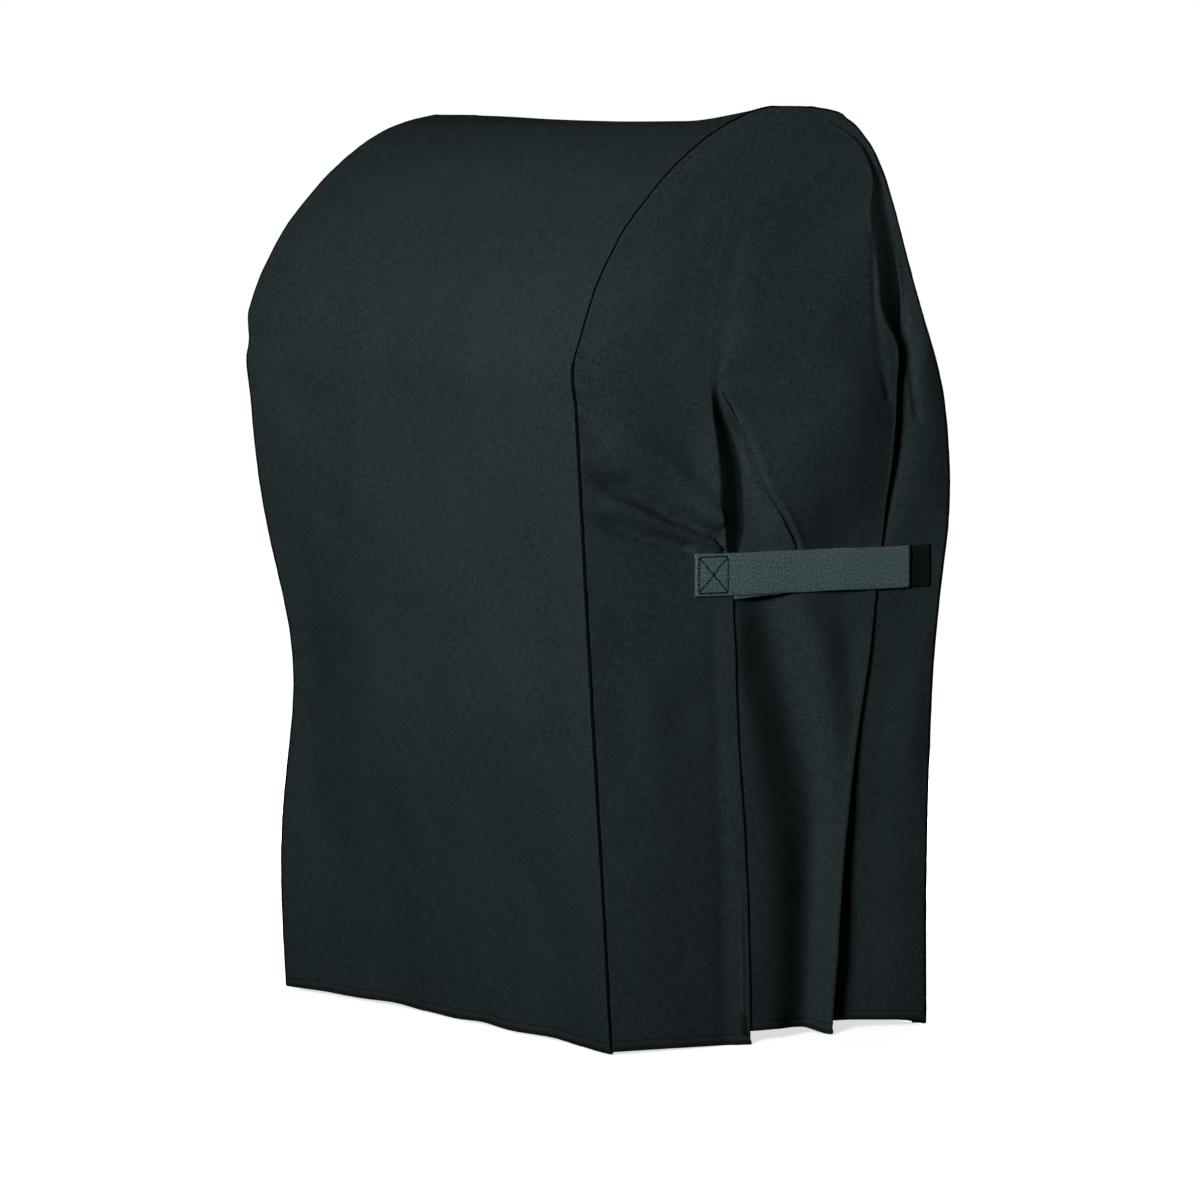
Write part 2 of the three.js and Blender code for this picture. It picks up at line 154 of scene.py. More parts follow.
def through(knots, places, values):
    """A smooth curve through values at the knots, read at places."""
    knots, values = np.asarray(knots, float), np.asarray(values, float)
    spans = np.diff(knots)
    slopes = np.diff(values, axis=0) / spans.reshape(-1, *[1] * (values.ndim - 1))
    inner = [
        (slopes[i] * spans[i - 1] + slopes[i - 1] * spans[i]) / (spans[i] + spans[i - 1])
        for i in range(1, len(spans))
    ]
    at_knots = np.array([slopes[0], *inner, slopes[-1]])
    places = np.clip(places, knots[0], knots[-1])
    i = np.clip(np.searchsorted(knots, places, side="right") - 1, 0, len(spans) - 1)
    t = (places - knots[i]) / spans[i]
    shape = (-1,) + (1,) * (values.ndim - 1)
    t, span = t.reshape(shape), spans[i].reshape(shape)
    a, b, slope_a, slope_b = values[i], values[i + 1], at_knots[i] * span, at_knots[i + 1] * span
    return (
        a * (2 * t**3 - 3 * t**2 + 1)
        + slope_a * (t**3 - 2 * t**2 + t)
        + b * (3 * t**2 - 2 * t**3)
        + slope_b * (t**3 - t**2)
    )


def by_height(line, heights):
    """How far back the outline lies at each height."""
    y, z = np.array(line, float).T
    return through(z, np.asarray(heights, float), y)


def row_heights(step):
    """Heights whose rows lie one step apart along the front and over the lid."""
    fine = np.linspace(0, TOP, 4000)
    lengths = np.hypot(np.diff(fine), np.diff(by_height(front_line, fine)))
    travelled = np.concatenate([[0], np.cumsum(lengths)])
    count = int(round(travelled[-1] / step))
    return np.interp(np.linspace(0, travelled[-1], count + 1), travelled, fine)


def smooth(low, high, value):
    t = np.clip((np.asarray(value, float) - low) / (high - low), 0, 1)
    return t * t * (3 - 2 * t)


def unevenness(a, b, size, seed):
    """Soft random hills and hollows from -1 to 1, about size apart."""
    lattice = np.random.default_rng(seed).uniform(-1, 1, (64, 64))
    a, b = np.asarray(a, float) / size, np.asarray(b, float) / size
    i, j = np.floor(a).astype(int), np.floor(b).astype(int)
    s, t = smooth(0, 1, a - i), smooth(0, 1, b - j)
    corner = lambda di, dj: lattice[(i + di) % 64, (j + dj) % 64]
    low = corner(0, 0) * (1 - s) + corner(1, 0) * s
    high = corner(0, 1) * (1 - s) + corner(1, 1) * s
    return low * (1 - t) + high * t


def cloth_piece(name, points, cut, material, inwards=CLOTH_THICKNESS, flip=False):
    """A cloth piece from a grid of points in mm and the place of each on the flat cut."""
    rows, columns = points.shape[:2]
    placed = (points + np.array([0, FRONT_HEM, 0])) * 0.001
    corner = np.arange(rows * columns).reshape(rows, columns)
    corners = [corner[:-1, :-1], corner[:-1, 1:], corner[1:, 1:], corner[1:, :-1]]
    quads = np.stack(corners, -1).reshape(-1, 4)
    if flip:
        quads = quads[:, ::-1]
    mesh = bpy.data.meshes.new(name)
    mesh.from_pydata(placed.reshape(-1, 3).tolist(), [], quads.tolist())
    layer = mesh.uv_layers.new(name="cut")
    layer.data.foreach_set("uv", (cut.reshape(-1, 2)[quads.ravel()] * 0.001).astype(np.float32).ravel())
    mesh.polygons.foreach_set("use_smooth", [True] * len(quads))
    mesh.materials.append(material)
    piece = bpy.data.objects.new(name, mesh)
    bpy.context.scene.collection.objects.link(piece)
    if inwards:
        thick = piece.modifiers.new("cloth thickness", "SOLIDIFY")
        thick.thickness = inwards * 0.001
        thick.offset = -1
    return piece


HEIGHTS = row_heights(ROW_STEP)
PINCH_HEIGHT = 412  # the left front corner is drawn in at this height
PINCH_REACH = 165
PINCH_IN = 22
PINCH_BACK = 26


def pinch(z):
    return np.exp(-(((z - PINCH_HEIGHT) / PINCH_REACH) ** 2))


def groove(distance, depth, width):
    """How far the cloth sinks towards a seam."""
    return depth * np.exp(-((np.asarray(distance, float) / width) ** 2))


SEAM_DEPTH = 2.6
SEAM_WIDTH = 1.3
LID_SEAM_SHARE = 0.55  # the seam is stretched open over the lid

# ---------------------------------------------------------------- Long panel
# One length of cloth, 710 mm wide, for the front, the top and the back, sewn to the side panels along
# both edges. It lies on the lid's two raised ends and sinks between them.
PANEL_STEP = 7
FLAT_ROWS = 9
SINK = 15  # over the middle of the lid
SAG_PLACES = [-355, -300, -180, -60, 150, 200, 290, 355]
SAG_SHARES = [0, 0.12, 0.5, 0.78, 1, 1, 0.5, 0]
LEFT_FORWARD = 15  # how far the lid's left end pushes the cloth forward of the right end


def spread(half, step, fine_steps=(0, 0.7, 1.4, 2.3, 3.6, 5.5)):
    """Places across a panel, close together next to its two seams."""
    near = np.array(fine_steps, float)
    count = int(round(2 * (half - near[-1]) / step))
    middle = np.linspace(-half + near[-1], half - near[-1], count + 1)
    return np.concatenate([-half + near[:-1], middle, half - near[:-1][::-1]])


def long_panel_points(heights, across):
    flat = np.linspace(0, 1, FLAT_ROWS + 2)[1:-1]
    y = np.concatenate(
        [
            by_height(front_line, heights),
            LID_FLAT_FROM + flat * (LID_FLAT_TO - LID_FLAT_FROM),
            by_height(back_line, heights)[::-1],
        ]
    )
    z = np.concatenate([heights, np.full(FLAT_ROWS, TOP), heights[::-1]])
    way = np.concatenate([[0], np.cumsum(np.hypot(np.diff(y), np.diff(z)))])
    on_front = (np.arange(len(y)) < len(heights)).astype(float)[:, None]
    tangent = np.stack([np.gradient(y), np.gradient(z)])
    tangent /= np.linalg.norm(tangent, axis=0)
    out_y, out_z = -tangent[1][:, None], tangent[0][:, None]
    x = np.tile(across, (len(y), 1))
    y, z, way = (np.tile(v[:, None], (1, len(across))) for v in (y, z, way))
    ends = through(SAG_PLACES, across, SAG_SHARES)[None, :]
    sunk = SINK * ends * smooth(KNEE, 1050, z)
    sunk = sunk + 4 * ends * smooth(1000, 640, z) * smooth(420, 700, z)
    # The lower front falls back between its two stiff corners, and the back does so a little.
    sunk = sunk + 15 * smooth(330, 0, z) * on_front * smooth(-355, -120, x) * smooth(352, 190, x)
    sunk = sunk + 8 * smooth(500, 0, z) * (1 - on_front) * smooth(-355, -100, x) * smooth(355, 100, x)
    from_seam = HALF_WIDTH - abs(x)
    sunk = sunk - 5 * unevenness(x + 37, way, 190, 3) * smooth(0, 90, from_seam) * smooth(1080, 980, z)
    sunk = sunk - 1.6 * unevenness(x, way, 60, 5) * smooth(0, 60, from_seam) * smooth(1085, 1000, z)
    in_seam = groove(from_seam, np.where(z > KNEE, LID_SEAM_SHARE, 1) * SEAM_DEPTH, SEAM_WIDTH)
    sunk = sunk + in_seam
    x = x - np.sign(x) * in_seam
    # The stitches pucker the cloth beside the seam.
    sunk = sunk - 0.5 * unevenness(x * 0.2, way, 9, 7) * groove(HALF_WIDTH - abs(x) - 9, 1, 9)
    drawn = pinch(z) * on_front
    fade = 1 - smooth(0, 250, x + HALF_WIDTH)
    x = x + drawn * PINCH_IN * smooth(HALF_WIDTH, -HALF_WIDTH, x) ** 2
    y = y + drawn * PINCH_BACK * fade - sunk * out_y
    z = z - sunk * out_z
    left_end = smooth(60, -HALF_WIDTH, x)
    y = y - LEFT_FORWARD * left_end * smooth(KNEE, 850, z) * smooth(1092, 1072, z) * on_front
    z = z - left_end * smooth(1000, 1080, z)
    hem_wave = 4 + 2.2 * unevenness(x, way * 0, 70, 11)
    z = z + hem_wave * np.exp(-z / 60)
    return np.stack([x, y, z], -1), np.stack([across[None, :] + 0 * x, way], -1)


panel_across = spread(HALF_WIDTH, PANEL_STEP)
panel_points, cut = long_panel_points(HEIGHTS, panel_across)
long_panel = cloth_piece("front_lid_and_back_panel", panel_points, cut, cover_cloth)
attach(long_panel, "cover")
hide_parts("main_panel")

# ---------------------------------------------------------------- Side panels
# Each end is cut wider than the grill is deep. The strap gathers the spare cloth into two knife folds
# that lie rearwards: they open out above the strap and swing outwards below it.
# A line runs from the hem up: height, how far back, how far out. On the front and rear lines "how far back"
# is a share: of the way from the front seam to the first fold, or from the second fold to the back seam.
front_bow = [
    (0, 0.4, 8), (330, 0.4, 5), (525, 0.4, 1), (577, 0.4, 1), (640, 0.4, 3), (700, 0.4, 6),
    (800, 0.42, 9), (870, 0.42, 7), (930, 0.42, 4), (1010, 0.42, 2), (TOP, 0.4, 0),
]
front_swell = [
    (0, 0.8, 13), (170, 0.8, 9), (330, 0.8, 4), (480, 0.8, 1.5), (525, 0.8, 0.5), (577, 0.8, 0.5),
    (620, 0.82, 3), (664, 0.82, 4), (706, 0.82, 7), (740, 0.82, 10), (800, 0.8, 15), (870, 0.8, 11),
    (930, 0.78, 7), (1010, 0.75, 3.5), (TOP, 0.7, 0),
]
# A fold adds how far the cloth doubles back under its edge (below zero, how far it has opened out) and the
# drop from its outer layer to its inner one.
first_fold = [
    (0, 188, 18, 12, 5), (168, 186, 13, 12, 5), (286, 180, 10, 12, 5), (403, 176, 6, 12, 5),
    (490, 172.2, 3, 12, 5), (545, 170, 1, 10, 6), (575, 161, 2.5, -28, 14), (600, 155, 7, -41, 20.5),
    (623, 149, 10, -47, 24), (664, 145, 12.5, -48, 26), (706, 140, 14, -40, 24.5), (740, 133, 15, -23, 14),
    (768, 129, 16, -10, 2), (800, 128, 16, -14, 0), (870, 138, 12, -20, 0), (930, 150, 8, -22, 0),
    (1010, 186, 4, -18, 0), (1060, 215, 2, -12, 0), (TOP, 243, 0, -6, 0),
]
second_fold = [
    (0, 314, 6, 4, 26), (95, 323, 6, 4, 26), (218, 335, 5, 4, 18), (328, 351, 4, 6, 10),
    (441, 371, 3, 8, 6), (524, 383, 0.5, 8, 4), (579, 392, 0, 8, 7), (635, 396, 6, 6, 18),
    (711, 399, 14, 4, 26), (782, 401, 16, 2, 28), (813, 399, 16, -22, 26), (848, 378, 16, -46, 24),
    (899, 370, 14, -46, 19), (965, 364, 9, -35, 13), (1020, 369, 4, -14, 7), (1060, 338, 1, -8, 3),
    (TOP, 268, 0, -5, 0),
]
valley_edge = [
    (0, 224, 10), (95, 223, 10), (190, 221, 9), (250, 219, 7), (305, 209, 5), (365, 198, 2.5),
    (430, 185, 0), (490, 181, -1), (545, 182, -8), (575, 191, -11.5), (600, 197.5, -13.5), (623, 198, -14),
    (664, 195, -13.5), (706, 183, -10.5), (740, 158, 1.5), (768, 141, 14), (800, 150, 18), (870, 170, 13),
    (930, 185, 9), (1010, 212, 4), (1060, 232, 2), (TOP, 252, 0),
]
valley = [
    (0, 288, -14), (95, 294, -16), (190, 300, -18), (250, 301, -19), (305, 295, -20), (365, 279, -21),
    (430, 258, -22), (471, 243, -20), (519, 226, -14), (550, 218, -10), (575, 216, -9), (600, 218, -8),
    (623, 214, -8), (664, 203, -9), (706, 189, -6), (740, 160, 9), (768, 144, 15), (800, 165, 20),
    (870, 190, 14), (930, 205, 9), (1010, 226, 4), (1060, 243, 2), (TOP, 256, 0),
]
ridge = [
    (0, 300, -5), (95, 308, -5), (190, 316, -5), (250, 321, -4), (305, 323, -3), (365, 320, 1),
    (430, 303, 2), (471, 292, 2), (519, 274, 0), (550, 268, 0), (580, 264, 2.5), (600, 249, 6),
    (618, 236, 9), (646, 216, 9), (677, 202, 9), (706, 190, 9), (740, 167, 11), (768, 148, 16.5),
    (800, 185, 21), (870, 215, 14), (930, 225, 9), (1010, 236, 4), (1060, 249, 2), (TOP, 259, 0),
]
side_bulge = [
    (0, 305, 1), (95, 314, 1), (190, 323, 1), (250, 329, 1), (305, 337, 2), (365, 347, 2),
    (430, 345, -1), (519, 335, -4), (575, 320, -3), (600, 317, 4), (623, 315, 10), (664, 317, 19),
    (706, 322, 26), (755, 327, 31), (800, 312, 24), (870, 295, 15), (930, 282, 9), (1010, 262, 4),
    (1060, 258, 2), (TOP, 262, 0),
]
rear_hollow = [
    (0, 0.3, -17), (95, 0.3, -17), (218, 0.35, -9), (328, 0.35, -5), (441, 0.35, -3), (525, 0.4, -2.5),
    (579, 0.2, -2), (635, 0.22, 1), (711, 0.29, 2), (782, 0.34, 1), (813, 0.35, -4), (848, 0.35, -5),
    (899, 0.35, -4), (965, 0.35, -4), (1020, 0.4, -3), (TOP, 0.4, 0),
]
rear_bow = [
    (0, 0.7, -3), (95, 0.7, -3), (218, 0.7, 0), (328, 0.75, 2), (441, 0.75, 1), (525, 0.8, -1.5),
    (579, 0.7, -1.5), (635, 0.65, 4), (711, 0.65, 6), (782, 0.65, 5), (848, 0.75, -2), (899, 0.75, -2),
    (965, 0.75, -2), (TOP, 0.75, 0),
]
# How high the hem lies at each turn of the cloth, from the front seam to the back seam.
hem_rise = [5, 4, 2, 0, 0, 0, 5, 14, 16, 16, 15, 10, 5, 3, 2, 2, 2, 6, 13, 15, 14, 13, 10, 5]
COLUMNS_PER_SPAN = [18, 12, 10, 2, 4, 4, 5, 5, 5, 7, 10, 12, 16, 12, 2, 4, 4, 4, 5, 5, 7, 8, 12]
CREASE = 12  # the turn whose crest is pinched above the strap


def line_at(line, heights):
    table = np.array(line, float)
    return through(table[:, 0], heights, table[:, 1:]).T


def turns_of(front, back, heights):
    """The cloth's turning points on each row, as y and out."""

    def fold(line):
        edge, out, under, drop = line_at(line, heights)
        doubled, opened = np.maximum(under, 0), np.maximum(-under, 0)
        turn = np.minimum(drop, doubled) * 0.3
        ways = [-turn, 0, -turn, turn - doubled, -doubled, turn - doubled]
        layered, sloped = [0, 0.25, 0.5, 0.5, 0.75, 1], [0, 0.2, 0.42, 0.65, 0.86, 1]
        spread = smooth(0, 8, opened)
        places = [edge + way + n / 5 * opened for n, way in enumerate(ways)]
        outs = [out - drop * (layered[n] + spread * (sloped[n] - layered[n])) for n in range(6)]
        return [(places[0] - 3, outs[0] - 0.3), *zip(places, outs)]

    def shared(line, start, end):
        share, out = line_at(line, heights)
        return (start + share * (end - start), out)

    first, second = fold(first_fold), fold(second_fold)
    middle = [tuple(line_at(line, heights)) for line in (valley_edge, valley, ridge, side_bulge)]
    behind = np.maximum(second[1][0], second[5][0])
    turns = [
        (front, 0 * heights),
        shared(front_bow, front, first[0][0]),
        shared(front_swell, front, first[0][0]),
        *first,
        *middle,
        *second,
        shared(rear_hollow, behind, back),
        shared(rear_bow, behind, back),
        (back, 0 * heights),
    ]
    return np.array(turns).transpose(2, 0, 1)


def path_through(turns, counts):
    """Runs a smooth path through each row's turning points, with counts[i] steps from one to the next."""
    steps = np.linalg.norm(np.diff(turns, axis=1), axis=2)
    travelled = np.cumsum(np.sqrt(np.maximum(steps, 0.05)), axis=1)
    knots = np.concatenate([np.zeros((len(turns), 1)), travelled], 1)
    shares = []
    last = turns.shape[1] - 1
    for n in range(last):
        t = np.arange(counts[n]) / counts[n]
        if n == 0:
            t = t**2
        if n == CREASE:
            t = t**1.8
        if n == CREASE - 1 or n == last - 1:
            t = 1 - (1 - t) ** 1.7
        shares.append(n + t)
    shares = np.concatenate([*shares, [last]])
    whole = np.minimum(shares.astype(int), last - 1)
    rows = []
    for knot, turn in zip(knots, turns):
        places = knot[whole] + (shares - whole) * (knot[whole + 1] - knot[whole])
        rows.append(through(knot, places, turn))
    return np.array(rows), shares


def pull(y, z, line, amount, width):
    """A soft ridge (or, where the amount is below zero, a valley) along a line of (y, z) points. The amount
    and the width are each given for the line's start and end."""
    line = np.array(line, float)
    best = np.full(np.shape(y), np.inf)
    where = np.zeros(np.shape(y))
    total = np.concatenate([[0], np.cumsum(np.linalg.norm(np.diff(line, axis=0), axis=1))])
    for n in range(len(line) - 1):
        a, d = line[n], line[n + 1] - line[n]
        t = np.clip(((y - a[0]) * d[0] + (z - a[1]) * d[1]) / (d @ d), 0, 1)
        away = np.hypot(y - a[0] - t * d[0], z - a[1] - t * d[1])
        nearer = away < best
        best = np.where(nearer, away, best)
        where = np.where(nearer, (total[n] + t * (total[n + 1] - total[n])) / total[-1], where)
    amounts = amount[0] + where * (amount[1] - amount[0])
    widths = width[0] + where * (width[1] - width[0])
    return amounts * np.exp(-((best / widths) ** 2))


# The strap's sewn end drags the cloth in folds that fan out towards the front seam. Behind them two soft
# creases run down beside the second fold's upper end.
drag_folds = [
    ([(-120, 680), (-44, 669), (26, 651), (87, 621), (145, 597), (158, 587)], (-14, -16), (20, 6)),
    ([(-120, 660), (-38, 645), (26, 627), (77, 608), (150, 582)], (8, 8), (11, 5)),
    ([(-120, 640), (-38, 626), (9, 609), (43, 597), (84, 588), (111, 580)], (-11, -13), (12, 5)),
    ([(-38, 602), (20, 590), (60, 582)], (2, 2), (9, 5)),
    ([(-120, 745), (-20, 722), (88, 672), (146, 614)], (3, 7), (26, 9)),
    ([(146, 505), (152, 290), (160, 0)], (-1.5, -3.5), (10, 15)),
    ([(366, 940), (367, 864), (376, 788), (386, 752)], (-1.5, -4.5), (4, 4)),
    ([(424, 900), (433, 762), (440, 730)], (-2, -4), (5, 5)),
]


def side_panel_points(side, heights):
    drawn = pinch(heights) * (side < 0)
    pushed = LEFT_FORWARD * smooth(KNEE, 850, heights) * smooth(1092, 1072, heights) * (side < 0)
    front = by_height(front_line, heights) + drawn * PINCH_BACK - pushed
    back = by_height(back_line, heights)
    turns = turns_of(front, back, heights)
    turns[:, 0, 1] -= drawn * PINCH_IN
    turns[:, 1, 1] -= drawn * PINCH_IN * 0.6
    path, shares = path_through(turns, COLUMNS_PER_SPAN)
    crease_column = int(np.argmin(abs(shares - CREASE)))
    y, out = path[..., 0], path[..., 1]
    z = np.tile(heights[:, None], (1, y.shape[1]))
    steps = np.hypot(np.diff(y, axis=1), np.diff(out, axis=1))
    way = np.concatenate([np.zeros((len(y), 1)), np.cumsum(steps, axis=1)], 1)
    from_back = way[:, -1:] - way
    clear = smooth(0, 40, np.minimum(way, from_back)) * smooth(1085, 1000, z)
    to_seam = np.minimum(way, from_back)
    for line, amount, width in drag_folds:
        reached = shares < 4 if line[0][0] < 200 else shares > 13
        fade = 65 if line[0][0] < -100 else 28
        out = out + pull(y, z, line, amount, width) * smooth(0, fade, to_seam) * reached
    off_strap = smooth(0, 40, abs(z - 551) - 25)
    pinched = smooth(560, 600, z) * smooth(775, 740, z) * (1 + smooth(660, 590, z))
    off_crease = way - way[:, crease_column][:, None]
    out = out + 3.5 * pinched * np.exp(-((off_crease / 10) ** 2))
    out = out - 5.5 * pinched * np.exp(-((off_crease / 3.5) ** 2))
    out = out + 2.2 * unevenness(way + 90 * side, z, 120, 21 + side) * clear * off_strap
    out = out + 1.0 * unevenness(way, z + 40 * side, 42, 31 + side) * clear * off_strap
    depth = np.where(z > KNEE, LID_SEAM_SHARE, 1) * SEAM_DEPTH
    for line, distance, facing in ((front_line, way, -1), (back_line, from_back, 1)):
        lean = np.gradient(by_height(line, heights), heights)
        size = np.hypot(lean, 1)
        normal = np.stack([facing / size, -facing * lean / size])[:, :, None]
        away = distance / size[:, None]
        in_seam = groove(away, depth, SEAM_WIDTH) * (shares < 3 if facing < 0 else shares > 20)
        out = out - in_seam + 0.5 * unevenness(away * 0.2, z, 9, 41 + side) * groove(away - 9, 1, 9)
        y = y - in_seam * normal[0]
        z = z - in_seam * normal[1]
    z = z - smooth(1000, 1080, z) * (side < 0)
    rise = np.interp(shares, np.arange(len(hem_rise)), hem_rise)[None, :]
    z = z + rise * np.exp(-z / 90)
    points = np.stack([side * (HALF_WIDTH + out), y, z], -1)
    return points, np.stack([way + front[:, None], z], -1)


side_points = {}
for name, side in (("right", 1), ("left", -1)):
    side_points[name], cut = side_panel_points(side, HEIGHTS)
    panel = cloth_piece(f"{name}_side_panel_cloth", side_points[name], cut, cover_cloth, flip=side < 0)
    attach(panel, "cover")
    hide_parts(f"{name}_side_panel")

# ---------------------------------------------------------------- Hems
# Polyester binding tape, 60 mm wide, is folded round each panel's raw lower edge: 4 mm shows outside,
# 25 mm lies inside. One lockstitched row, 11 mm up, holds it and puckers the cloth a little.
HEM_INSIDE = 25
HEM_ROW = 11


def weave_tape(name, light, dark, pitch, rough):
    """Narrow woven tape: ribs across its length, and a slightly uneven dye."""
    material, shader = new_material(name)
    cut = node(material, "UVMap", uv_map="cut").outputs[0]
    split = node(material, "SeparateXYZ", {0: cut})
    turns = 2000 * math.pi / pitch
    turned = node(material, "Math", {0: split.outputs[0], 1: turns}, operation="MULTIPLY")
    across = node(material, "Math", {0: split.outputs[1], 1: turns / 0.8}, operation="MULTIPLY")
    rib = node(material, "Math", {0: turned.outputs[0]}, operation="SINE").outputs[0]
    end = node(material, "Math", {0: across.outputs[0]}, operation="SINE").outputs[0]
    knit = node(material, "Math", {0: end, 1: 0.6, 2: rib}, operation="MULTIPLY_ADD").outputs[0]
    grain = node(material, "TexNoise", {"Vector": cut, "Scale": 420.0, "Detail": 2.0}).outputs[0]
    level = node(material, "Math", {0: knit, 1: 0.07, 2: grain}, operation="MULTIPLY_ADD").outputs[0]
    share = node(material, "MapRange", {"Value": level, 1: 0.35, 2: 0.7, 3: 0.0, 4: 1.0}).outputs[0]
    dyed = node(material, "Mix", {0: share, 6: linear(dark), 7: linear(light)}, data_type="RGBA")
    bump = node(material, "Bump", {"Height": level, "Strength": 0.6, "Distance": 0.0006})
    material.node_tree.links.new(dyed.outputs[2], shader.inputs["Base Color"])
    material.node_tree.links.new(bump.outputs[0], shader.inputs["Normal"])
    shader.inputs["Roughness"].default_value = rough
    return material


# Binding tape: plain woven polyester, a little darker than the cloth.
binding_tape = weave_tape("polyester_binding_tape", "#1d2426", "#121718", 1.6, 0.75)


def polyester_thread():
    """Bonded three-ply thread, darker than the cloth; its twist shows as fine slanting bands."""
    material, shader = new_material("bonded_polyester_thread")
    place = node(material, "TexCoord").outputs["Object"]
    twist = node(material, "TexWave", {"Vector": place, "Scale": 900.0, "Distortion": 1.0})
    dark, light = linear("#07090a"), linear("#12171a")
    tone = node(material, "Mix", {0: twist.outputs[1], 6: dark, 7: light}, data_type="RGBA")
    bump = node(material, "Bump", {"Height": twist.outputs[1], "Strength": 0.4, "Distance": 0.0002})
    material.node_tree.links.new(tone.outputs[2], shader.inputs["Base Color"])
    material.node_tree.links.new(bump.outputs[0], shader.inputs["Normal"])
    shader.inputs["Roughness"].default_value = 0.45
    return material


thread = polyester_thread()


def unit(vectors):
    return vectors / np.maximum(np.linalg.norm(vectors, axis=-1, keepdims=True), 1e-9)


def outward_normals(grid, sign):
    return unit(np.cross(np.gradient(grid, axis=1), np.gradient(grid, axis=0))) * sign


def sewn_rows(name, rows, pitch=4.0, width=0.9):
    """Rows of lockstitches. A row is points on the cloth and the cloth's outward direction at each."""
    verts, faces = [], []
    ways = np.array([0, 0.16, 0.5, 0.84, 1]) * pitch * 0.8
    lifts = np.array([-0.5, 0.2, 0.35, 0.2, -0.5]) * width
    sizes = np.array([0.5, 0.9, 1, 0.9, 0.5]) * width / 2
    turn = np.arange(6) * math.pi / 3
    for path, outward in rows:
        travelled = np.concatenate([[0], np.cumsum(np.linalg.norm(np.diff(path, axis=0), axis=1))])
        starts = np.arange(0.3 * pitch, travelled[-1] - pitch * 0.9, pitch)
        places = starts[:, None] + ways
        at = np.stack([np.interp(places, travelled, path[:, k]) for k in range(3)], -1)
        up = unit(np.stack([np.interp(places, travelled, outward[:, k]) for k in range(3)], -1))
        along = unit(at[:, -1:] - at[:, :1])
        side = unit(np.cross(along, up))
        centre = at + lifts[:, None] * up
        spokes = np.cos(turn)[:, None] * up[:, :, None] + np.sin(turn)[:, None] * side[:, :, None]
        ring = centre[:, :, None] + sizes[:, None, None] * spokes
        first = len(verts)
        verts.extend(ring.reshape(-1, 3).tolist())
        for stitch in range(len(starts)):
            base = first + stitch * 30
            for n in range(4):
                for k in range(6):
                    a, b = base + n * 6 + k, base + n * 6 + (k + 1) % 6
                    faces.append((a, a + 6, b + 6, b))
            faces.append(tuple(base + k for k in range(6)))
            faces.append(tuple(base + 24 + k for k in reversed(range(6))))
    mesh = bpy.data.meshes.new(name)
    placed = (np.array(verts) + np.array([0, FRONT_HEM, 0])) * 0.001
    mesh.from_pydata(placed.tolist(), [], faces)
    mesh.polygons.foreach_set("use_smooth", [True] * len(faces))
    mesh.materials.append(thread)
    piece = bpy.data.objects.new(name, mesh)
    bpy.context.scene.collection.objects.link(piece)
    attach(piece, "cover")
    return piece


# The tape's section: how far up the cloth from its lower edge, and how far outside its face.
hem_section = [
    (4.5, 0.25), (3.6, 0.9), (1.6, 1.1), (0, 0.9), (-0.9, 0.1), (-1, -0.8), (-0.3, -1.5), (2, -1.8),
    (7, -1.7), (13, -1.6), (19, -1.6), (HEM_INSIDE, -1.5),
]


def hem(name, lower, sign):
    """Tape and stitching for one hem, from the cloth's lowest rows. sign says which way is outside."""
    normals = outward_normals(lower, sign)
    climbed = np.concatenate([[0], np.cumsum(np.linalg.norm(np.diff(lower, axis=0), axis=2).mean(1))])

    def at(height):
        columns = range(lower.shape[1])
        return np.array(
            [[np.interp(max(height, 0), climbed, lower[:, n, k]) for k in range(3)] for n in columns]
        )

    away = unit(lower[0] - lower[1])
    along = np.concatenate([[0], np.cumsum(np.linalg.norm(np.diff(lower[0], axis=0), axis=1))])
    rows, cut, run = [], [], 0
    for n, (height, off) in enumerate(hem_section):
        pucker = 0.35 * unevenness(along, along * 0, 7, 13) if off > 0 else 0 * along
        row = at(height) + away * max(-height, 0) + normals[0] * (off + pucker)[:, None]
        run += 0 if n == 0 else math.hypot(height - hem_section[n - 1][0], off - hem_section[n - 1][1])
        rows.append(row)
        cut.append(np.stack([along, along * 0 + run], -1))
    rows, cut = np.array(rows), np.array(cut)
    tape = cloth_piece(f"{name}_hem_tape_fold", rows, cut, binding_tape, 0, flip=sign > 0)
    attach(tape, "cover")
    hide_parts(f"{name}_hem_tape")
    sewn_rows(f"{name}_hem_stitches", [(at(HEM_ROW) + normals[0] * 0.1, normals[0])])


HEM_ROWS = 8
hem("front", panel_points[:HEM_ROWS], 1)
hem("back", panel_points[::-1][:HEM_ROWS], -1)
hem("right", side_points["right"][:HEM_ROWS], 1)
hem("left", side_points["left"][:HEM_ROWS], -1)

# ---------------------------------------------------------------- Seams
# Both long seams are sewn from inside, their raw edges bound in the same tape, which stands inwards
# from the corner as a narrow flange. Outside, a seam is a tight groove with painted shade: a near-black
# cord lies in it.
FLANGE = 13
# The binding's section: how deep inside the corner, and how far to one side of the seam allowances.
flange_section = [
    (0.8, 0.1), (1.5, 0.7), (FLANGE, 0.9), (FLANGE + 0.6, 0), (FLANGE, -0.9), (1.5, -0.7), (0.8, -0.1),
]

# Painted shade: a dull, near-black cord laid in each seam's groove stands in for the shadow there.
seam_painted_shade = weave_tape("polyester_seam_edges", "#0a0e0f", "#040606", 1.6, 0.9)
seam_painted_shade.node_tree.nodes["Principled BSDF"].inputs["Specular IOR Level"].default_value = 0.1


